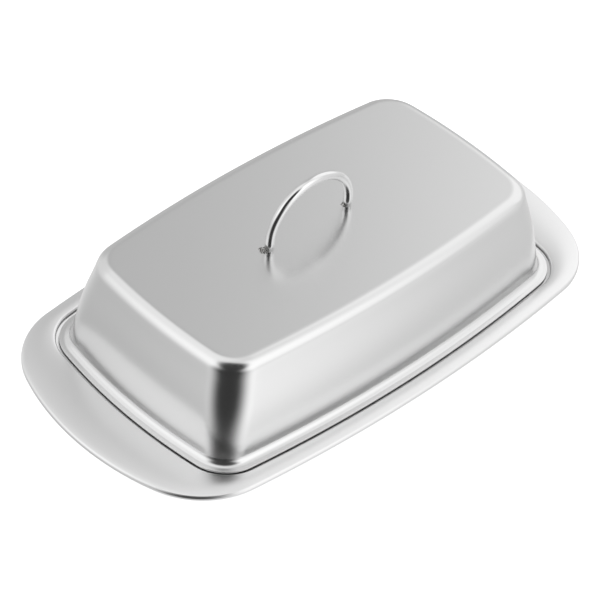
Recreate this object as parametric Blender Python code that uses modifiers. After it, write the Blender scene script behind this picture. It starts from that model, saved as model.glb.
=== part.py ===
"""Butter dish: a pressed steel tray and a lift-off cover with a bent wire handle.

Frame: metres, +Z up, origin on the table at the middle of the dish. X runs along the dish,
Y across it. The front long side faces -Y and the left end faces -X.
"""

import math

import bmesh
import bpy

MM = 0.001

# --- Driving dimensions, in metres -------------------------------------------------------------
SHEET = 0.6 * MM             # thickness of both pressings
GAP = 0.3 * MM               # gap between pieces that rest on or against each other

# The tray, from its table face up to its turned-down lip
TRAY_HALF_LENGTH = 97.5 * MM
TRAY_HALF_WIDTH = 53.0 * MM
TRAY_END_BOW = 15.0 * MM     # how far each end swells past its straight chord
TRAY_SIDE_BOW = 8.0 * MM
TRAY_CORNER = 28.0 * MM
LIP_DROP = 1.3 * MM          # the lip hangs this far below the top of the cover's flange
RIM_CROWN = 0.7 * MM         # the rim's surface swells by this much between step and lip
RIM_ROUND = 0.8 * MM         # where the rim turns down, at the lip and at the recess
LEDGE_WIDTH = 6.0 * MM       # the ledge that carries the cover's flange
WELL_SLOPE = 2.5 * MM        # how far the well's wall leans in on its way down
WELL_ROUND = 1.2 * MM
RECESS_CLEARANCE = 0.7 * MM  # between the cover's flange and the recess wall

# The cover, measured from the top face of its flange
FLANGE_TOP = 8.0 * MM        # height of the flange's top face over the table
FLANGE_HALF_LENGTH = 78.8 * MM
FLANGE_HALF_WIDTH = 46.4 * MM
FLANGE_END_BOW = 5.5 * MM
FLANGE_SIDE_BOW = 5.9 * MM
FLANGE_CORNER = 13.8 * MM
FLANGE_WIDTH = 3.5 * MM
FOOT_ROUND = 0.9 * MM        # hollow round between flange and wall
COVER_HEIGHT = 33.7 * MM
TOP_HALF_LENGTH = 69.0 * MM  # where the wall ends and the top rounding starts
TOP_HALF_WIDTH = 37.9 * MM
TOP_END_BOW = 2.2 * MM
TOP_SIDE_BOW = 4.3 * MM
TOP_CORNER = 10.7 * MM
TOP_ROUND = 4.3 * MM
WALL_BULGE = 0.5 * MM        # how far the walls swell at half height

# The handle and its welds
WIRE_RADIUS = 1.5 * MM
HANDLE_HALF_SPAN = 16.9 * MM
HANDLE_HEIGHT = 19.0 * MM    # from the cover's top to the wire's centre line
HANDLE_ARCH = 15.7 * MM      # height of the arched stretch; the rest is two short straight legs
HANDLE_X = -3.4 * MM         # the handle is welded a little left of the cover's middle
WELD_WIDTH = 0.9 * MM
WELD_HEIGHT = 0.8 * MM

# --- How finely curves are divided ---------------------------------------------------------------
CORNER_STEPS = 6
END_STEPS = 4
SIDE_STEPS = 7
ROUND_STEPS = 3
WALL_STEPS = 4
ARCH_STEPS = 18
WELD_STEPS = 16


def steel(name, colour, roughness):
    """Make a plain metal material."""
    material = bpy.data.materials.new(name)
    material.use_nodes = True
    shader = material.node_tree.nodes["Principled BSDF"]
    shader.inputs["Base Color"].default_value = (*colour, 1.0)
    shader.inputs["Metallic"].default_value = 1.0
    shader.inputs["Roughness"].default_value = roughness
    return material


def arc(centre, radius, start, end, steps):
    """Points on an arc, both ends included, angles in radians."""
    return [
        (
            centre[0] + radius * math.cos(start + (end - start) * i / steps),
            centre[1] + radius * math.sin(start + (end - start) * i / steps),
        )
        for i in range(steps + 1)
    ]


def bowed_outline(half_length, half_width, end_bow, side_bow, corner):
    """Points round a rectangle whose four sides are shallow arcs and whose corners are round.

    Every arc meets the next one with a common tangent. Outlines made with this function all have
    the same number of points, so any two of them can be blended or joined point by point.
    """
    end_radius = half_width**2 / (2 * end_bow)
    side_radius = half_length**2 / (2 * side_bow)
    end_centre = (half_length - end_radius, 0.0)
    side_centre = (0.0, half_width - side_radius)
    # The corner's centre is this far from each of those centres.
    from_end = end_radius - corner
    from_side = side_radius - corner
    across = (side_centre[0] - end_centre[0], side_centre[1] - end_centre[1])
    apart = math.hypot(*across)
    along = (from_end**2 - from_side**2 + apart**2) / (2 * apart)
    off = math.sqrt(from_end**2 - along**2)
    unit = (across[0] / apart, across[1] / apart)
    corner_centre = (
        end_centre[0] + unit[0] * along - unit[1] * off,
        end_centre[1] + unit[1] * along + unit[0] * off,
    )
    if corner_centre[0] < 0:
        corner_centre = (
            end_centre[0] + unit[0] * along + unit[1] * off,
            end_centre[1] + unit[1] * along - unit[0] * off,
        )
    end_turn = math.atan2(corner_centre[1] - end_centre[1], corner_centre[0] - end_centre[0])
    side_turn = math.atan2(corner_centre[1] - side_centre[1], corner_centre[0] - side_centre[0])
    quarter = arc(end_centre, end_radius, 0.0, end_turn, END_STEPS)
    quarter += arc(corner_centre, corner, end_turn, side_turn, CORNER_STEPS)[1:]
    quarter += arc(side_centre, side_radius, side_turn, math.pi / 2, SIDE_STEPS)[1:]
    back_left = [(-x, y) for x, y in reversed(quarter[:-1])]
    back = quarter + back_left
    front = [(x, -y) for x, y in reversed(back[1:-1])]
    return back + front


def normals(outline):
    """The outward direction at each point of a closed outline that runs anticlockwise."""
    count = len(outline)
    result = []
    for i in range(count):
        before = outline[i - 1]
        after = outline[(i + 1) % count]
        run = (after[0] - before[0], after[1] - before[1])
        length = math.hypot(*run)
        result.append((run[1] / length, -run[0] / length))
    return result


def grown(outline, distance):
    """The outline moved out by a distance, or in where it is negative."""
    return [
        (point[0] + way[0] * distance, point[1] + way[1] * distance)
        for point, way in zip(outline, normals(outline))
    ]


def blend(first, second, share):
    """The outline that lies between two others."""
    return [
        (a[0] + (b[0] - a[0]) * share, a[1] + (b[1] - a[1]) * share)
        for a, b in zip(first, second)
    ]


def ring(outline, height):
    """Place an outline at a height."""
    return [(x, y, height) for x, y in outline]


def rounded(outline, centre_height, radius, start, end):
    """Rings round a quarter or less of a circle whose centre follows an outline.

    Angles are in degrees: 0 is straight out from the outline, 90 is up and 180 is straight in.
    """
    rings = []
    for i in range(ROUND_STEPS + 1):
        angle = math.radians(start + (end - start) * i / ROUND_STEPS)
        placed = grown(outline, radius * math.cos(angle))
        rings.append(ring(placed, centre_height + radius * math.sin(angle)))
    return rings


def add_object(name, data, material, collection):
    """Make an object from mesh or curve data, in the dish's collection."""
    piece = bpy.data.objects.new(name, data)
    collection.objects.link(piece)
    data.materials.append(material)
    return piece


def pressed_sheet(name, rings, material, collection):
    """A pressed sheet: a skin over rings of points, given its thickness by Solidify.

    The rings follow the sheet's upper or outer face from its free edge inwards, and a flat face
    closes the last one.
    """
    skin = bmesh.new()
    loops = [[skin.verts.new(point) for point in points] for points in rings]
    for outer, inner in zip(loops, loops[1:]):
        for i in range(len(outer)):
            skin.faces.new((outer[i - 1], outer[i], inner[i], inner[i - 1]))
    skin.faces.new(loops[-1])
    mesh = bpy.data.meshes.new(name)
    skin.to_mesh(mesh)
    skin.free()
    mesh.shade_smooth()
    piece = add_object(name, mesh, material, collection)
    wall = piece.modifiers.new("Sheet thickness", "SOLIDIFY")
    wall.thickness = SHEET
    wall.offset = -1.0
    wall.use_even_offset = True
    return piece


def build_tray(flange, material, collection):
    """The tray: lip, crowned rim, recess for the cover's flange, well and floor."""
    edge = bowed_outline(
        TRAY_HALF_LENGTH, TRAY_HALF_WIDTH, TRAY_END_BOW, TRAY_SIDE_BOW, TRAY_CORNER
    )
    recess = grown(flange, RECESS_CLEARANCE)
    ledge_height = FLANGE_TOP - GAP - SHEET
    well_top = grown(recess, -LEDGE_WIDTH)
    well_foot = grown(well_top, -WELL_SLOPE)
    lip_centre = grown(edge, -RIM_ROUND)
    step_centre = grown(recess, RIM_ROUND)
    centre_height = FLANGE_TOP - RIM_ROUND

    rings = [ring(edge, FLANGE_TOP - LIP_DROP)]
    rings += rounded(lip_centre, centre_height, RIM_ROUND, 0, 80)
    for share in (0.25, 0.5, 0.75):
        crown = RIM_CROWN * math.sin(math.pi * share)
        rings.append(ring(blend(lip_centre, step_centre, share), FLANGE_TOP + crown))
    rings += rounded(step_centre, centre_height, RIM_ROUND, 100, 180)
    rings.append(ring(recess, ledge_height))
    rings += rounded(grown(well_top, WELL_ROUND), ledge_height - WELL_ROUND, WELL_ROUND, 90, 160)
    rings.append(ring(grown(well_foot, WELL_ROUND / 2), SHEET + WELL_ROUND))
    rings.append(ring(grown(well_foot, -WELL_ROUND / 2), SHEET))
    return pressed_sheet("tray", rings, material, collection)


def build_cover(flange, material, collection):
    """The cover: a narrow flange, a bowed and tapered wall and a flat top with a rounded edge."""
    foot_centre = grown(flange, -FLANGE_WIDTH + FOOT_ROUND)
    foot = grown(foot_centre, -FOOT_ROUND)
    top = bowed_outline(
        TOP_HALF_LENGTH, TOP_HALF_WIDTH, TOP_END_BOW, TOP_SIDE_BOW, TOP_CORNER
    )
    foot_height = FLANGE_TOP + FOOT_ROUND
    wall_height = COVER_HEIGHT - TOP_ROUND - FOOT_ROUND

    rings = [ring(flange, FLANGE_TOP)]
    rings += rounded(foot_centre, foot_height, FOOT_ROUND, 270, 190)
    for step in range(1, WALL_STEPS):
        share = step / WALL_STEPS
        bulge = WALL_BULGE * 4 * share * (1 - share)
        outline = grown(blend(foot, top, share), bulge)
        rings.append(ring(outline, foot_height + wall_height * share))
    top_centre = grown(top, -TOP_ROUND)
    rings += rounded(top_centre, foot_height + wall_height, TOP_ROUND, 0, 90)
    return pressed_sheet("cover", rings, material, collection)


def build_handle(material, collection):
    """The handle: one round wire, two short legs and a half ellipse between them."""
    foot_height = FLANGE_TOP + COVER_HEIGHT + GAP
    spring_height = FLANGE_TOP + COVER_HEIGHT + HANDLE_HEIGHT - HANDLE_ARCH
    points = [(HANDLE_HALF_SPAN, foot_height)]
    for i in range(ARCH_STEPS + 1):
        angle = math.pi * i / ARCH_STEPS
        along = HANDLE_HALF_SPAN * math.cos(angle)
        points.append((along, spring_height + HANDLE_ARCH * math.sin(angle)))
    points.append((-HANDLE_HALF_SPAN, foot_height))

    curve = bpy.data.curves.new("handle", "CURVE")
    curve.dimensions = "3D"
    curve.bevel_depth = WIRE_RADIUS
    curve.bevel_resolution = 4
    curve.use_fill_caps = True
    spline = curve.splines.new("POLY")
    spline.points.add(len(points) - 1)
    for point, (along, height) in zip(spline.points, points):
        point.co = (HANDLE_X + along, 0.0, height, 1.0)
    spline.use_smooth = True
    return add_object("handle", curve, material, collection)


def build_weld(name, side, material, collection):
    """A weld bead: a low ring turned round one foot of the handle."""
    inner = WIRE_RADIUS + GAP
    floor = FLANGE_TOP + COVER_HEIGHT + GAP
    profile = [(inner, floor + WELD_HEIGHT)]
    for i in range(ROUND_STEPS + 1):
        angle = math.radians(90 - 90 * i / ROUND_STEPS)
        reach = inner + WELD_WIDTH * (0.3 + 0.7 * math.cos(angle))
        profile.append((reach, floor + WELD_HEIGHT * math.sin(angle)))
    profile.append((inner, floor))
    shape = bmesh.new()
    points = [shape.verts.new((reach, 0.0, height)) for reach, height in profile]
    for upper, lower in zip(points, points[1:] + points[:1]):
        shape.edges.new((upper, lower))
    mesh = bpy.data.meshes.new(name)
    shape.to_mesh(mesh)
    shape.free()
    piece = add_object(name, mesh, material, collection)
    piece.location = (HANDLE_X + side * HANDLE_HALF_SPAN, 0.0, 0.0)
    turn = piece.modifiers.new("Turned ring", "SCREW")
    turn.steps = WELD_STEPS
    turn.render_steps = WELD_STEPS
    turn.use_merge_vertices = True
    turn.merge_threshold = 0.00001
    turn.use_normal_calculate = False
    turn.use_smooth_shade = True
    return piece


def main():
    """Clear the scene and build the dish."""
    for old in list(bpy.data.objects):
        bpy.data.objects.remove(old)
    collection = bpy.data.collections.new("butter_dish")
    bpy.context.scene.collection.children.link(collection)
    satin = steel("Satin pressed steel", (0.62, 0.62, 0.61), 0.35)
    polished = steel("Polished wire steel", (0.66, 0.66, 0.66), 0.12)
    welded = steel("Weld metal", (0.24, 0.23, 0.22), 0.55)

    flange = bowed_outline(
        FLANGE_HALF_LENGTH, FLANGE_HALF_WIDTH, FLANGE_END_BOW, FLANGE_SIDE_BOW, FLANGE_CORNER
    )
    build_tray(flange, satin, collection)
    moving = [
        build_cover(flange, satin, collection),
        build_handle(polished, collection),
        build_weld("handle_weld_left", -1, welded, collection),
        build_weld("handle_weld_right", 1, welded, collection),
    ]
    # The lifted pieces hang from one empty, at the foot of the line they are lifted along.
    lift = bpy.data.objects.new("cover_lift", None)
    lift.location = (0.0, 0.0, FLANGE_TOP)
    collection.objects.link(lift)
    for piece in moving:
        piece.parent = lift
        piece.matrix_parent_inverse = lift.matrix_basis.inverted()


main()
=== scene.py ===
"""Looks of a pressed steel butter dish: tray, lift-off cover, wire handle and its welds.

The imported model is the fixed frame. Each sub-assembly below is a class that takes its place and
main sizes from the frame, builds its meshes with bmesh operators and dresses them in its finish.
Lengths are metres, +Z is up, and X runs along the dish.
"""

import logging
import math
from dataclasses import dataclass
from enum import Enum
from typing import Any

import bmesh
import bpy
from bmesh.types import BMEdge, BMesh, BMVert
from mathutils import Matrix, Vector, noise


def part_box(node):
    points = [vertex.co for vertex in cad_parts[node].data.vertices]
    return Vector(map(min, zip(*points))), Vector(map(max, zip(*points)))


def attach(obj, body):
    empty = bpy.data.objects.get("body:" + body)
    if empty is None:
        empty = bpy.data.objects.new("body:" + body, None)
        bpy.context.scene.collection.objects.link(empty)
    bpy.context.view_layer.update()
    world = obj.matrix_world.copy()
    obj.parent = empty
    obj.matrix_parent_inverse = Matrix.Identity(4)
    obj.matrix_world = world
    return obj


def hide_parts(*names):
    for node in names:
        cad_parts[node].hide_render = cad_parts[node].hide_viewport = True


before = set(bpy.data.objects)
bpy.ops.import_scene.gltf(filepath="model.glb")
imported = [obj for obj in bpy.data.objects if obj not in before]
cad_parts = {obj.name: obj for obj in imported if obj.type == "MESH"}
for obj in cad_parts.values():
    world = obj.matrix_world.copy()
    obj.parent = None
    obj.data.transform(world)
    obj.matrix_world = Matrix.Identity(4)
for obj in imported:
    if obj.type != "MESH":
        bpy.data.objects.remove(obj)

MM = 0.001
SHEET = 0.6 * MM  # thickness of both pressings
MERGE = 0.001 * MM  # mirrored vertices closer than this become one
SMALLEST_CORNER = 0.5 * MM  # no outline's corner gets tighter than this

log = logging.getLogger("butter_dish")


# --- Colour and nodes ----------------------------------------------------------------------------


def linear(hex_colour: str) -> tuple[float, float, float, float]:
    """Turn an sRGB hex colour into linear light.

    Args:
        hex_colour: Six hex digits, with or without a leading '#'.

    Returns:
        Red, green, blue and an alpha of 1.
    """
    digits = hex_colour.lstrip("#")
    channels = [int(digits[i : i + 2], 16) / 255 for i in (0, 2, 4)]
    lit = [c / 12.92 if c <= 0.04045 else ((c + 0.055) / 1.055) ** 2.4 for c in channels]
    return (lit[0], lit[1], lit[2], 1.0)


def add_node(
    tree: bpy.types.NodeTree,
    kind: str,
    settings: dict[str, Any] | None = None,
    links: dict[Any, Any] | None = None,
) -> bpy.types.Node:
    """Add a node with its settings and incoming links.

    Args:
        tree: The node tree.
        kind: The node's type name.
        settings: Input values where the key is an input's name or number, else attributes.
        links: Output sockets keyed by the input's name or number that they feed.

    Returns:
        The new node.
    """
    node = tree.nodes.new(kind)
    for key, value in (settings or {}).items():
        if isinstance(key, int) or key in node.inputs:
            node.inputs[key].default_value = value
        else:
            setattr(node, key, value)
    for key, socket in (links or {}).items():
        tree.links.new(socket, node.inputs[key])
    return node


# --- Finishes ------------------------------------------------------------------------------------


@dataclass(frozen=True)
class SatinSteel:
    """Satin-brushed stainless sheet: a soft grey mirror, blurred across a fine grain.

    The grain runs along the dish on level faces, and round it on the walls.
    """

    name: str = "Satin brushed stainless steel"
    colour: str = "#E2E2E2"
    roughness: float = 0.21
    roughness_spread: float = 0.03
    grain_width: float = 0.28 * MM  # real grain is 0.05 mm; drawn wide enough to show
    grain_length: float = 14 * MM
    grain_depth: float = 0.0007 * MM
    wave_width: float = 34 * MM  # slow unevenness that pressing leaves in the sheet
    wave_depth: float = 0.02 * MM
    wall_below: float = 0.55  # upright share of the normal: the wall's grain below this
    level_above: float = 0.85  # and the level grain above this

    def material(self) -> bpy.types.Material:
        """Build the material and return it."""
        made = bpy.data.materials.new(self.name)
        made.use_nodes = True
        tree = made.node_tree
        shader = tree.nodes["Principled BSDF"]
        place = add_node(tree, "ShaderNodeTexCoord")
        across, along = 1 / self.grain_width, 1 / self.grain_length
        level_grain = self._grain(tree, place, (along, across, along))
        wall_grain = self._grain(tree, place, (along, along, across))
        facing = add_node(tree, "ShaderNodeSeparateXYZ", links={0: place.outputs["Normal"]})
        upward = add_node(
            tree, "ShaderNodeMath", {"operation": "ABSOLUTE"}, {0: facing.outputs["Z"]}
        )
        level = add_node(
            tree,
            "ShaderNodeMapRange",
            {
                "interpolation_type": "SMOOTHSTEP",
                "From Min": self.wall_below,
                "From Max": self.level_above,
            },
            {"Value": upward.outputs[0]},
        )
        grain = add_node(
            tree,
            "ShaderNodeMix",
            {"data_type": "FLOAT"},
            {0: level.outputs[0], 2: wall_grain.outputs[0], 3: level_grain.outputs[0]},
        )
        waves = add_node(
            tree,
            "ShaderNodeTexNoise",
            {"Scale": 1 / self.wave_width, "Detail": 1.0, "Roughness": 0.4},
            {"Vector": place.outputs["Object"]},
        )
        roughness = add_node(
            tree,
            "ShaderNodeMapRange",
            {
                "From Min": 0.25,
                "From Max": 0.75,
                "To Min": self.roughness - self.roughness_spread / 2,
                "To Max": self.roughness + self.roughness_spread / 2,
            },
            {"Value": grain.outputs[0]},
        )
        sheet_bump = add_node(
            tree,
            "ShaderNodeBump",
            {"Strength": 1.0, "Distance": self.wave_depth},
            {"Height": waves.outputs[0]},
        )
        grain_bump = add_node(
            tree,
            "ShaderNodeBump",
            {"Strength": 1.0, "Distance": self.grain_depth},
            {"Height": grain.outputs[0], "Normal": sheet_bump.outputs[0]},
        )
        shader.inputs["Base Color"].default_value = linear(self.colour)
        shader.inputs["Metallic"].default_value = 1.0
        tree.links.new(roughness.outputs[0], shader.inputs["Roughness"])
        tree.links.new(grain_bump.outputs[0], shader.inputs["Normal"])
        return made

    def _grain(
        self,
        tree: bpy.types.NodeTree,
        place: bpy.types.Node,
        scale: tuple[float, float, float],
    ) -> bpy.types.Node:
        """Add streaks that are fine in one direction and long in the others.

        Args:
            tree: The material's node tree.
            place: Its texture coordinate node.
            scale: How many streaks a metre holds along X, Y and Z.

        Returns:
            The noise node that holds the streaks.
        """
        stretched = add_node(
            tree, "ShaderNodeMapping", {"Scale": scale}, {"Vector": place.outputs["Object"]}
        )
        return add_node(
            tree,
            "ShaderNodeTexNoise",
            {"Scale": 1.0, "Detail": 3.0, "Roughness": 0.6},
            {"Vector": stretched.outputs[0]},
        )


@dataclass(frozen=True)
class PolishedWire:
    """Drawn stainless wire, buffed: a sharp mirror with faint marks along it."""

    name: str = "Polished stainless wire"
    colour: str = "#E6E6E6"
    roughness: float = 0.11
    roughness_spread: float = 0.3  # how far the marks change it, as a share
    mark_width: float = 0.5 * MM
    mark_depth: float = 0.002 * MM

    def material(self) -> bpy.types.Material:
        """Build the material and return it."""
        made = bpy.data.materials.new(self.name)
        made.use_nodes = True
        tree = made.node_tree
        shader = tree.nodes["Principled BSDF"]
        place = add_node(tree, "ShaderNodeTexCoord")
        marks = add_node(
            tree,
            "ShaderNodeTexNoise",
            {"Scale": 1 / self.mark_width, "Detail": 4.0, "Roughness": 0.6},
            {"Vector": place.outputs["Object"]},
        )
        roughness = add_node(
            tree,
            "ShaderNodeMapRange",
            {
                "To Min": self.roughness * (1 - self.roughness_spread),
                "To Max": self.roughness * (1 + self.roughness_spread),
            },
            {"Value": marks.outputs[0]},
        )
        bump = add_node(
            tree,
            "ShaderNodeBump",
            {"Strength": 1.0, "Distance": self.mark_depth},
            {"Height": marks.outputs[0]},
        )
        shader.inputs["Base Color"].default_value = linear(self.colour)
        shader.inputs["Metallic"].default_value = 1.0
        tree.links.new(roughness.outputs[0], shader.inputs["Roughness"])
        tree.links.new(bump.outputs[0], shader.inputs["Normal"])
        return made


@dataclass(frozen=True)
class WeldScale:
    """Bare weld metal with its burnt oxide skin: dark, rough and full of bright grains."""

    name: str = "Heat-scaled weld metal"
    dark: str = "#4A4948"
    bright: str = "#D6D5D3"
    roughness: float = 0.42
    grit: float = 0.35 * MM
    grit_depth: float = 0.06 * MM
    dark_until: float = 0.46  # the noise is dark below this
    bright_from: float = 0.56  # and bright above this

    def material(self) -> bpy.types.Material:
        """Build the material and return it."""
        made = bpy.data.materials.new(self.name)
        made.use_nodes = True
        tree = made.node_tree
        shader = tree.nodes["Principled BSDF"]
        place = add_node(tree, "ShaderNodeTexCoord")
        grains = add_node(
            tree,
            "ShaderNodeTexNoise",
            {"Scale": 1 / self.grit, "Detail": 3.0, "Roughness": 0.65},
            {"Vector": place.outputs["Object"]},
        )
        colour = add_node(tree, "ShaderNodeValToRGB", links={0: grains.outputs[0]})
        colour.color_ramp.elements[0].position = self.dark_until
        colour.color_ramp.elements[0].color = linear(self.dark)
        colour.color_ramp.elements[1].position = self.bright_from
        colour.color_ramp.elements[1].color = linear(self.bright)
        bump = add_node(
            tree,
            "ShaderNodeBump",
            {"Strength": 1.0, "Distance": self.grit_depth},
            {"Height": grains.outputs[0]},
        )
        shader.inputs["Metallic"].default_value = 1.0
        shader.inputs["Roughness"].default_value = self.roughness
        tree.links.new(colour.outputs[0], shader.inputs["Base Color"])
        tree.links.new(bump.outputs[0], shader.inputs["Normal"])
        return made


# --- Outlines and pressed sheets -----------------------------------------------------------------


@dataclass(frozen=True)
class Outline:
    """A rectangle whose four sides are shallow arcs and whose corners are round.

    Neighbouring arcs share a tangent where they meet.
    """

    half_length: float
    half_width: float
    end_radius: float
    side_radius: float
    corner: float
    end_steps: int = 14
    corner_steps: int = 20
    side_steps: int = 22

    @classmethod
    def bowed(
        cls, half_length: float, half_width: float, end_bow: float, side_bow: float, corner: float
    ) -> "Outline":
        """Make an outline from how far its ends and sides swell past straight chords.

        Args:
            half_length: From the middle to an end.
            half_width: From the middle to a side.
            end_bow: The swell of each end.
            side_bow: The swell of each side.
            corner: The radius of each corner.

        Returns:
            The outline.
        """
        end_radius = half_width**2 / (2 * end_bow)
        side_radius = half_length**2 / (2 * side_bow)
        return cls(half_length, half_width, end_radius, side_radius, corner)

    def grown(self, distance: float) -> "Outline":
        """The parallel outline that lies a distance outside, or inside where it is negative."""
        return Outline(
            self.half_length + distance,
            self.half_width + distance,
            self.end_radius + distance,
            self.side_radius + distance,
            max(self.corner + distance, SMALLEST_CORNER),
        )

    def between(self, other: "Outline", share: float) -> "Outline":
        """The outline that lies a share of the way to another one."""

        def mixed(first: float, second: float) -> float:
            """The value a share of the way from the first to the second."""
            return first + (second - first) * share

        return Outline(
            mixed(self.half_length, other.half_length),
            mixed(self.half_width, other.half_width),
            1 / mixed(1 / self.end_radius, 1 / other.end_radius),
            1 / mixed(1 / self.side_radius, 1 / other.side_radius),
            mixed(self.corner, other.corner),
        )

    def corner_centre(self) -> Vector:
        """The middle of the back right corner's arc, which touches both bowed sides."""
        end_centre = Vector((self.half_length - self.end_radius, 0.0))
        side_centre = Vector((0.0, self.half_width - self.side_radius))
        from_end = self.end_radius - self.corner
        from_side = self.side_radius - self.corner
        across = side_centre - end_centre
        apart = across.length
        along = (from_end**2 - from_side**2 + apart**2) / (2 * apart)
        off = math.sqrt(from_end**2 - along**2)
        unit = across / apart
        foot = end_centre + unit * along
        first = foot + Vector((-unit.y, unit.x)) * off
        second = foot - Vector((-unit.y, unit.x)) * off
        return first if first.x > 0 else second

    def draw(self, shape: BMesh, height: float) -> list[BMEdge]:
        """Draw the outline as a closed loop of edges at a height.

        A quarter is spun from one vertex, arc by arc, and mirrored twice.

        Args:
            shape: The bmesh to draw in.
            height: The loop's Z.

        Returns:
            The loop's edges.
        """
        known = set(shape.edges)
        middle = self.corner_centre()
        end_centre = Vector((self.half_length - self.end_radius, 0.0))
        side_centre = Vector((0.0, self.half_width - self.side_radius))
        first_turn = math.atan2(middle.y, middle.x - end_centre.x)
        second_turn = math.atan2(middle.y - side_centre.y, middle.x)
        pen = shape.verts.new((self.half_length, 0.0, height))
        arcs = (
            (end_centre, first_turn, self.end_steps),
            (middle, second_turn - first_turn, self.corner_steps),
            (side_centre, math.pi / 2 - second_turn, self.side_steps),
        )
        for centre, turn, steps in arcs:
            spun = bmesh.ops.spin(
                shape,
                geom=[pen],
                cent=(centre.x, centre.y, height),
                axis=(0.0, 0.0, 1.0),
                angle=turn,
                steps=steps,
                use_duplicate=False,
            )
            pen = next(item for item in spun["geom_last"] if isinstance(item, BMVert))
        for axis in ("X", "Y"):
            drawn = [edge for edge in shape.edges if edge not in known]
            corners = list({vert for edge in drawn for vert in edge.verts})
            bmesh.ops.mirror(
                shape,
                geom=drawn + corners,
                matrix=Matrix.Identity(4),
                merge_dist=MERGE,
                axis=axis,
            )
        return [edge for edge in shape.edges if edge not in known]


@dataclass(frozen=True)
class Level:
    """One ring of a pressed sheet: an outline at a height, with the round pressed into its edge."""

    outline: Outline
    height: float
    round: float = 0.0  # how far the round reaches from the ring, along the sheet
    segments: int = 6


def finish_object(name: str, shape: BMesh, material: bpy.types.Material) -> bpy.types.Object:
    """Turn a bmesh into a smooth-shaded object at the origin.

    Args:
        name: The object's name.
        shape: The bmesh, which is freed.
        material: The object's material.

    Returns:
        The new object, linked to the scene.
    """
    mesh = bpy.data.meshes.new(name)
    shape.to_mesh(mesh)
    shape.free()
    mesh.shade_smooth()
    mesh.materials.append(material)
    piece = bpy.data.objects.new(name, mesh)
    bpy.context.scene.collection.objects.link(piece)
    return piece


@dataclass
class PressedSheet:
    """A sheet drawn over rings, from its free edge inwards, and closed with a flat face."""

    edge_round: float = 0.14 * MM  # the deburred edge of the cut sheet
    edge_angle: float = 50.0  # degrees: folds sharper than this count as cut edges
    floor_margin: float = 0.8 * MM  # a ring inside the flat face keeps its shading even
    stacking: float = 20 * MM  # rings are joined while stacked this far apart, so none can cross

    def levels(self) -> list[Level]:
        """The rings of the sheet's upper or outer face."""
        raise NotImplementedError

    def press(self, name: str, material: bpy.types.Material) -> bpy.types.Object:
        """Loft the sheet over its rings, round their edges and give it its thickness.

        Args:
            name: The piece's name.
            material: Its material.

        Returns:
            The piece.
        """
        shape = bmesh.new()
        levels = self.levels()
        rings = [level.outline.draw(shape, i * self.stacking) for i, level in enumerate(levels)]
        for outer, inner in zip(rings, rings[1:]):
            bmesh.ops.bridge_loops(shape, edges=outer + inner)
        for i, (level, ring) in enumerate(zip(levels, rings)):
            verts = list({vert for edge in ring for vert in edge.verts})
            shift = Vector((0, 0, level.height - i * self.stacking))
            bmesh.ops.translate(shape, verts=verts, vec=shift)
        bmesh.ops.contextual_create(shape, geom=rings[-1])
        for level, ring in zip(levels, rings):
            if level.round:
                bmesh.ops.bevel(
                    shape,
                    geom=ring,
                    offset=level.round,
                    offset_type="OFFSET",
                    affect="EDGES",
                    segments=level.segments,
                    profile=0.5,
                    material=-1,
                )
        floor = max(shape.faces, key=lambda face: face.calc_area())
        bmesh.ops.inset_region(shape, faces=[floor], thickness=self.floor_margin)
        bmesh.ops.recalc_face_normals(shape, faces=shape.faces)
        floor = max(shape.faces, key=lambda face: face.calc_area())
        if floor.normal.z < 0:
            bmesh.ops.reverse_faces(shape, faces=shape.faces)
        piece = finish_object(name, shape, material)
        wall = piece.modifiers.new("Sheet thickness", "SOLIDIFY")
        wall.thickness = SHEET
        wall.offset = -1.0
        wall.use_even_offset = True
        burr = piece.modifiers.new("Deburred edge", "BEVEL")
        burr.width = self.edge_round
        burr.segments = 3
        burr.limit_method = "ANGLE"
        burr.angle_limit = math.radians(self.edge_angle)
        return piece


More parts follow.
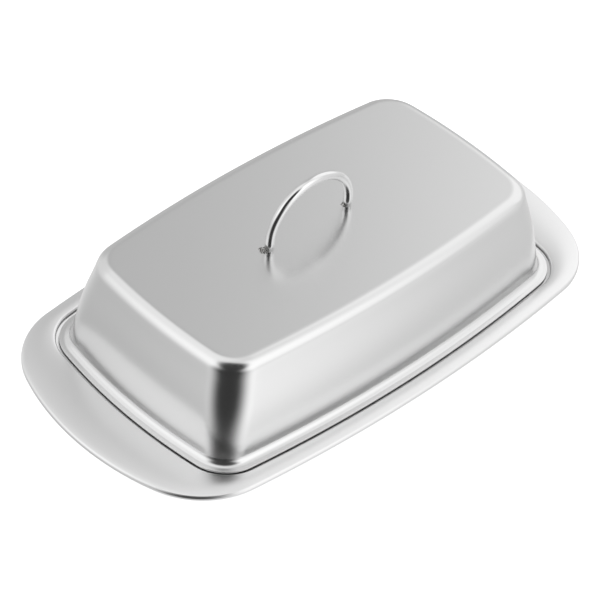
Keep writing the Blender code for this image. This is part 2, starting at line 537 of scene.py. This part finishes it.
@dataclass
class Tray(PressedSheet):
    """The tray: a flat floor, a shallow well, a recess for the cover and a wide crowned rim."""

    end_bow: float = 15.0 * MM
    side_bow: float = 8.0 * MM
    corner: float = 28.0 * MM
    lip_drop: float = 1.3 * MM
    crown: float = 0.42 * MM
    rim_step: float = 0.4 * MM  # how much higher the rim is beside the recess than at the lip
    crown_rings: int = 8
    crown_start: float = 0.14  # the crown's first and last rings, as shares of the rim's width
    crown_end: float = 0.86
    rim_round: float = 0.75 * MM
    recess_clearance: float = 1.1 * MM
    seat_gap: float = 0.3 * MM  # from the ledge to the underside of the cover's flange
    ledge_width: float = 6.0 * MM
    ledge_fillet: float = 0.1 * MM
    well_slope: float = 2.5 * MM
    well_round: float = 1.6 * MM  # at the well's foot
    well_top_round: float = 0.96 * MM
    finish: SatinSteel = SatinSteel(
        name="Coarse brushed stainless steel",
        colour="#EBEBEB",
        roughness=0.3,
        grain_depth=0.003 * MM,
    )  # brighter, and blurred more than the cover

    def levels(self) -> list[Level]:
        """Rings from the lip's lower edge over the rim and down to the floor."""
        _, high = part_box("tray")
        flange = Cover().flange()
        flange_top = Cover().flange_top()
        edge = Outline.bowed(high.x, high.y, self.end_bow, self.side_bow, self.corner)
        recess = flange.grown(self.recess_clearance)
        well = recess.grown(-self.ledge_width)
        ledge = flange_top - SHEET - self.seat_gap
        rings = [Level(edge, flange_top - self.lip_drop)]
        rings.append(Level(edge, flange_top, self.rim_round))
        for i in range(self.crown_rings):
            step = i / (self.crown_rings - 1)
            share = self.crown_start + (self.crown_end - self.crown_start) * step
            rise = self.crown * math.sin(math.pi * share) + self.rim_step * share
            rings.append(Level(edge.between(recess, share), flange_top + rise))
        rings.append(Level(recess, flange_top + self.rim_step, self.rim_round))
        rings.append(Level(recess, ledge, self.ledge_fillet, 2))
        rings.append(Level(well, ledge, self.well_top_round))
        rings.append(Level(well.grown(-self.well_slope), SHEET, self.well_round))
        return rings

    def build(self) -> list[bpy.types.Object]:
        """Build and dress the tray, and let it stand for its CAD node."""
        tray = self.press("tray_pressing", self.finish.material())
        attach(tray, "dish")
        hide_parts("tray")
        return [tray]


@dataclass
class Cover(PressedSheet):
    """The cover: a narrow flange, bowed and tapered walls and a flat top with a broad round."""

    end_bow: float = 5.5 * MM
    side_bow: float = 5.9 * MM
    corner: float = 13.8 * MM
    flange_width: float = 3.2 * MM
    foot_round: float = 2.0 * MM
    top_inset_x: float = 10.7 * MM  # from the flange's edge to the sharp edge under the round
    top_inset_y: float = 9.4 * MM
    top_end_bow: float = 3.0 * MM
    top_side_bow: float = 4.3 * MM
    top_corner: float = 12.4 * MM
    top_round: float = 3.4 * MM
    bulge: float = 0.8 * MM  # how far the wall swells halfway up
    wall_rings: int = 13
    wall_start: float = 0.1  # the wall's first and last rings, as shares of its height
    wall_end: float = 0.84
    finish: SatinSteel = SatinSteel()

    def flange(self) -> Outline:
        """The outline of the flange's edge, from the frame."""
        _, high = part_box("cover")
        return Outline.bowed(high.x, high.y, self.end_bow, self.side_bow, self.corner)

    def flange_top(self) -> float:
        """The height of the flange's upper face, from the frame."""
        low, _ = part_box("cover")
        return low.z + SHEET

    def levels(self) -> list[Level]:
        """Rings from the flange's edge up the wall to the top's edge."""
        _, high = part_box("cover")
        flange = self.flange()
        foot = flange.grown(-self.flange_width)
        top = Outline.bowed(
            high.x - self.top_inset_x,
            high.y - self.top_inset_y,
            self.top_end_bow,
            self.top_side_bow,
            self.top_corner,
        )
        foot_height = self.flange_top()
        rings = [Level(flange, foot_height), Level(foot, foot_height, self.foot_round, 5)]
        for i in range(self.wall_rings):
            step = i / (self.wall_rings - 1)
            share = self.wall_start + (self.wall_end - self.wall_start) * step
            swell = self.bulge * math.sin(math.pi * share) ** 2
            height = foot_height + (high.z - foot_height) * share
            rings.append(Level(foot.between(top, share).grown(swell), height))
        rings.append(Level(top, high.z, self.top_round, 10))
        return rings

    def build(self) -> list[bpy.types.Object]:
        """Build and dress the cover, and let it stand for its CAD node."""
        cover = self.press("cover_pressing", self.finish.material())
        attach(cover, "cover")
        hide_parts("cover")
        return [cover]


# --- Handle and welds ----------------------------------------------------------------------------


@dataclass
class Handle:
    """The bent wire: two short legs and a half-ellipse arch, drawn ring by ring along the wire."""

    arch_height: float = 15.7 * MM
    sides: int = 32
    arch_steps: int = 64
    sink: float = 0.05 * MM  # how far the feet reach into the cover's top, where they are welded

    def stations(self) -> list[tuple[Vector, Vector]]:
        """Points along the wire's centre line, each with the wire's direction there."""
        low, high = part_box("handle")
        _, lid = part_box("cover")
        radius = (high.y - low.y) / 2
        middle = (low + high) / 2
        half_span = (high.x - low.x) / 2 - radius
        spring = high.z - radius - self.arch_height
        along = [(Vector((half_span, 0, lid.z - self.sink)), Vector((0, 0, 1)))]
        for i in range(self.arch_steps + 1):
            angle = math.pi * i / self.arch_steps
            point = Vector(
                (half_span * math.cos(angle), 0, spring + self.arch_height * math.sin(angle))
            )
            way = Vector((-half_span * math.sin(angle), 0, self.arch_height * math.cos(angle)))
            along.append((point, way.normalized()))
        along.append((Vector((-half_span, 0, lid.z - self.sink)), Vector((0, 0, -1))))
        offset = Vector((middle.x, middle.y, 0))
        return [(point + offset, way) for point, way in along]

    def build(self) -> list[bpy.types.Object]:
        """Extrude a circle along the wire, close its ends and dress it."""
        low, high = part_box("handle")
        radius = (high.y - low.y) / 2
        stations = self.stations()
        shape = bmesh.new()
        start, way = stations[0]
        turn = way.to_track_quat("Z", "Y").to_matrix().to_4x4()
        bmesh.ops.create_circle(
            shape,
            cap_ends=True,
            segments=self.sides,
            radius=radius,
            matrix=Matrix.Translation(start) @ turn,
        )
        cap = list(shape.faces)
        for (here, here_way), (there, there_way) in zip(stations, stations[1:]):
            pulled = bmesh.ops.extrude_face_region(shape, geom=cap)
            bmesh.ops.delete(shape, geom=cap, context="FACES_ONLY")
            cap = [item for item in pulled["geom"] if isinstance(item, bmesh.types.BMFace)]
            verts = [item for item in pulled["geom"] if isinstance(item, BMVert)]
            bend = here_way.rotation_difference(there_way).to_matrix().to_4x4()
            bmesh.ops.transform(
                shape,
                matrix=Matrix.Translation(there) @ bend @ Matrix.Translation(-here),
                verts=verts,
            )
        bmesh.ops.holes_fill(shape, edges=shape.edges, sides=0)
        bmesh.ops.recalc_face_normals(shape, faces=shape.faces)
        wire = finish_object("handle_wire", shape, PolishedWire().material())
        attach(wire, "cover")
        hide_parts("handle")
        return [wire]


class Foot(Enum):
    """Which foot of the handle a weld holds."""

    LEFT = "handle_weld_left"
    RIGHT = "handle_weld_right"


@dataclass
class Weld:
    """A weld at one foot of the handle: lumps of metal run together beside the wire."""

    foot: Foot
    lumps: tuple[tuple[float, float, float], ...]  # X and Y from the wire's axis, radius, in mm
    flatness: float  # how high each lump stands, as a share of its radius
    bump_width: float = 0.7 * MM
    bump_height: float = 0.1 * MM

    def build(self) -> list[bpy.types.Object]:
        """Run the lumps together, roughen them and dress them."""
        low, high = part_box(self.foot.value)
        _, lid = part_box("cover")
        middle = (low + high) / 2
        shape = bmesh.new()
        for x, y, radius in self.lumps:
            centre = Vector((middle.x + x * MM, middle.y + y * MM, lid.z))
            squash = Matrix.Diagonal((1, 1, self.flatness, 1))
            bmesh.ops.create_icosphere(
                shape,
                subdivisions=3,
                radius=radius * MM,
                matrix=Matrix.Translation(centre) @ squash,
            )
        for vert in shape.verts:
            push = noise.noise(vert.co / self.bump_width)
            vert.co += vert.normal * push * self.bump_height
        bead = finish_object(self.foot.value + "_bead", shape, WeldScale().material())
        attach(bead, "cover")
        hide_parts(self.foot.value)
        return [bead]


# --- Studio --------------------------------------------------------------------------------------


@dataclass(frozen=True)
class Patch:
    """A soft round patch of the surround: a lit screen, or a dark one."""

    azimuth: float  # degrees from +X towards +Y
    elevation: float
    reach: float  # degrees from its middle to its edge
    fade: float  # degrees over which the edge fades
    brightness: float

    def towards(self) -> Vector:
        """The direction of the patch's middle."""
        around, rise = math.radians(self.azimuth), math.radians(self.elevation)
        level = math.cos(rise)
        return Vector((math.cos(around) * level, math.sin(around) * level, math.sin(rise)))


@dataclass
class Studio:
    """A white floor under plain soft light, and the camera.

    The surround is a pale room with a grey wall behind the dish. Lit screens stand at its left and
    right and in front of it and hang over it, and a black one with a hood stands at its near corner.
    """

    azimuth: float = -46.9
    elevation: float = 43.1
    roll: float = 5.3
    distance: float = 0.8533
    lens: float = 158.2
    sensor: float = 36.0
    aim_right: float = -2.88 * MM
    floor_size: float = 4.0  # half its side
    floor_colour: str = "#F2F2F2"
    floor_roughness: float = 0.9
    floor_glow: float = 0.7
    room: float = 0.84  # brightness where no patch lies
    patches: tuple[Patch, ...] = (  # each lies over those before it
        Patch(52, 6, 30, 18, 0.6),  # foot of the grey wall behind
        Patch(50, 41, 17, 20, 0.54),  # grey wall behind
        Patch(95, 68, 18, 20, 1.05),  # screen overhead
        Patch(5, 33, 28, 16, 1.15),  # screen at the right
        Patch(163, 40, 28, 40, 1.25),  # screen at the left
        Patch(-88, 37, 37, 34, 1.33),  # screen in front
        Patch(132, -40, 32, 40, 0.6),  # floor beyond the left end
        Patch(-76, -20, 14, 38, 1.28),  # floor in front
        Patch(-15, -36, 31, 18, 0.76),  # floor at the right
        Patch(-139, 2, 40, 34, 0.04),  # black screen at the near corner
        Patch(-133, 50, 30, 14, 0.04),  # and the black hood over it
    )

    def axes(self) -> tuple[Vector, Vector, Vector]:
        """The camera's right, up and back directions."""
        around, rise = math.radians(self.azimuth), math.radians(self.elevation)
        back = Vector(
            (math.sin(around) * math.cos(rise), -math.cos(around) * math.cos(rise), math.sin(rise))
        )
        right = Vector((math.cos(around), math.sin(around), 0.0))
        up = back.cross(right)
        tilt = math.radians(self.roll)
        return (
            right * math.cos(tilt) + up * math.sin(tilt),
            up * math.cos(tilt) - right * math.sin(tilt),
            back,
        )

    def build_camera(self) -> bpy.types.Object:
        """Put the camera in front of the dish's near corner, above it."""
        right, up, back = self.axes()
        data = bpy.data.cameras.new("camera")
        data.lens = self.lens
        data.sensor_width = self.sensor
        camera = bpy.data.objects.new("camera", data)
        bpy.context.scene.collection.objects.link(camera)
        aim = Vector((0, 0, Cover().flange_top())) + right * self.aim_right
        place = Matrix((right, up, back)).transposed().to_4x4()
        place.translation = aim + back * self.distance
        camera.matrix_world = place
        bpy.context.scene.camera = camera
        return camera

    def build_floor(self) -> bpy.types.Object:
        """Lay a wide matt white floor."""
        shape = bmesh.new()
        bmesh.ops.create_grid(shape, x_segments=1, y_segments=1, size=self.floor_size)
        made = bpy.data.materials.new("Matt white paper")
        made.use_nodes = True
        shader = made.node_tree.nodes["Principled BSDF"]
        shader.inputs["Base Color"].default_value = linear(self.floor_colour)
        shader.inputs["Roughness"].default_value = self.floor_roughness
        shader.inputs["Emission Color"].default_value = linear("#FFFFFF")
        shader.inputs["Emission Strength"].default_value = self.floor_glow
        floor = finish_object("floor", shape, made)
        floor.visible_glossy = False  # the steel mirrors the surround's screens instead
        return floor

    def build_light(self) -> None:
        """Light the dish with the surround: the room, and each patch laid over it."""
        world = bpy.data.worlds.new("soft surround")
        bpy.context.scene.world = world
        world.use_nodes = True
        tree = world.node_tree
        place = add_node(tree, "ShaderNodeTexCoord")
        bright = add_node(tree, "ShaderNodeValue").outputs[0]
        bright.default_value = self.room
        for patch in self.patches:
            facing = add_node(
                tree,
                "ShaderNodeVectorMath",
                {"operation": "DOT_PRODUCT", 1: patch.towards()},
                {0: place.outputs["Generated"]},
            )
            angle = add_node(
                tree, "ShaderNodeMath", {"operation": "ARCCOSINE"}, {0: facing.outputs["Value"]}
            )
            share = add_node(
                tree,
                "ShaderNodeMapRange",
                {
                    "interpolation_type": "SMOOTHSTEP",
                    "From Min": math.radians(patch.reach + patch.fade / 2),
                    "From Max": math.radians(patch.reach - patch.fade / 2),
                },
                {"Value": angle.outputs[0]},
            )
            bright = add_node(
                tree,
                "ShaderNodeMix",
                {"data_type": "FLOAT", 3: patch.brightness},
                {0: share.outputs[0], 2: bright},
            ).outputs[0]
        background = tree.nodes["Background"]
        background.inputs["Color"].default_value = linear("#FFFFFF")
        tree.links.new(bright, background.inputs["Strength"])

    def build(self) -> None:
        """Build the whole studio."""
        self.build_camera()
        self.build_floor()
        self.build_light()
        bpy.context.scene.view_settings.view_transform = "Standard"


def corners(low_high: tuple[Vector, Vector]) -> list[list[float]]:
    """A box's two corners as plain lists of numbers."""
    return [list(low_high[0]), list(low_high[1])]


def main() -> None:
    """Build the studio and each sub-assembly in order, and log each piece's face count."""
    logging.basicConfig(level=logging.INFO, format="%(name)s: %(message)s")
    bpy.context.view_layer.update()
    Studio().build()
    left = Weld(
        foot=Foot.LEFT,
        lumps=(
            (-0.7, 0.7, 1.2),
            (-1.6, 0.9, 1.0),
            (-1.9, 1.7, 0.8),
            (-2.5, 0.6, 0.7),
            (-1.3, -0.2, 0.8),
            (-2.2, -0.3, 0.4),
            (2.0, 0.6, 0.25),
        ),
        flatness=0.5,
    )
    right = Weld(
        foot=Foot.RIGHT,
        lumps=((-0.25, 0.3, 1.45), (1.6, 1.8, 0.45), (-1.5, 1.1, 0.3)),
        flatness=0.2,
    )
    for part in (Tray(), Cover(), Handle(), left, right):
        for piece in part.build():
            faces = len(piece.data.polygons)
            log.info("%s: %s with %d faces", type(part).__name__, piece.name, faces)


if __name__ == "__main__":
    main()
